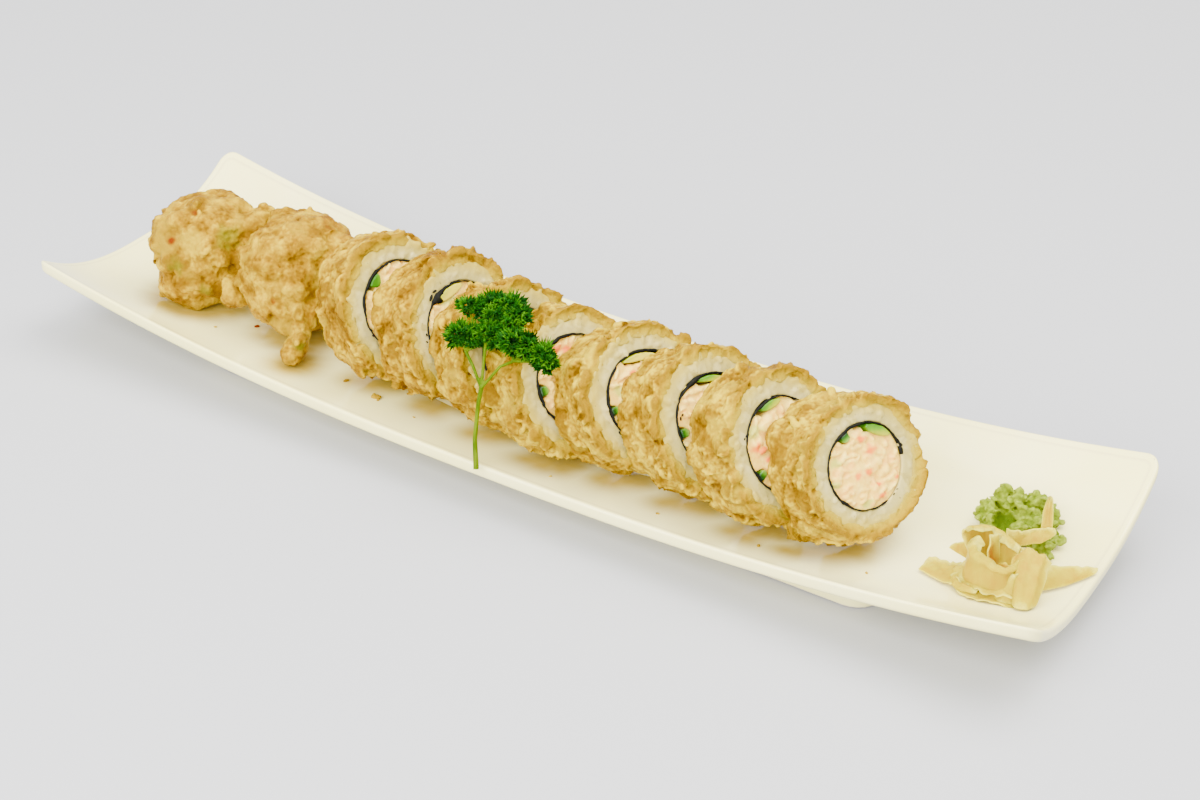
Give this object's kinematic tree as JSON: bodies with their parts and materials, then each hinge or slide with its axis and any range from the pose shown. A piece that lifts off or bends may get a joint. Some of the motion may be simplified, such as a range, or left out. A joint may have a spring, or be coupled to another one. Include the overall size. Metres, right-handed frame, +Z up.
{
  "type": "fried sushi roll on a plate",
  "caption": "Battered and fried sushi roll cut into slices leaning in a row on a long curved ceramic plate, with wasabi, pickled ginger and a parsley sprig.",
  "frame": {"origin": "on the table under the middle of the plate", "axes": "+Z up, +X along the plate towards the ginger and wasabi, +Y to the back"},
  "size_m": [0.385, 0.1084, 0.0686],
  "materials": {
    "ceramic": "glossy warm white glaze",
    "crust": "craggy fried batter, satin with a little oil",
    "rice": "cooked pressed rice, moist",
    "nori": "damp black seaweed sheet",
    "crab": "shredded crab stick, moist",
    "avocado": "ripe avocado, satin",
    "cucumber": "cucumber with green skin, wet",
    "wasabi": "crumbly paste, matt",
    "ginger": "thin pickled slices, wet and translucent",
    "parsley": "curled leaf, satin",
    "parsley_stem": "fresh stem, satin"
  },
  "bodies": {
    "root": {"avocado_03": "avocado", "avocado_04": "avocado", "avocado_07": "avocado", "avocado_08": "avocado", "avocado_09": "avocado", "avocado_10": "avocado", "crab_03": "crab", "crab_04": "crab", "crab_05": "crab", "crab_06": "crab", "crab_07": "crab", "crab_08": "crab", "crab_09": "crab", "crab_10": "crab", "crust_03": "crust", "crust_04": "crust", "crust_05": "crust", "crust_06": "crust", "crust_07": "crust", "crust_08": "crust", "crust_09": "crust", "crust_10": "crust", "cucumber_04": "cucumber", "cucumber_06": "cucumber", "cucumber_07": "cucumber", "cucumber_08": "cucumber", "cucumber_09": "cucumber", "cucumber_10": "cucumber", "end_piece_1": "crust", "end_piece_2": "crust", "ginger_back": "ginger", "ginger_right": "ginger", "ginger_rose": "ginger", "ginger_skirt": "ginger", "ginger_strip_back": "ginger", "ginger_strip_left": "ginger", "ginger_strip_right": "ginger", "nori_03": "nori", "nori_04": "nori", "nori_05": "nori", "nori_06": "nori", "nori_07": "nori", "nori_08": "nori", "nori_09": "nori", "nori_10": "nori", "parsley_leaf_left": "parsley", "parsley_leaf_right": "parsley", "parsley_leaf_top": "parsley", "parsley_stem": "parsley_stem", "plate": "ceramic", "rice_03": "rice", "rice_04": "rice", "rice_05": "rice", "rice_06": "rice", "rice_07": "rice", "rice_08": "rice", "rice_09": "rice", "rice_10": "rice", "wasabi": "wasabi"}
  },
  "joints": []
}
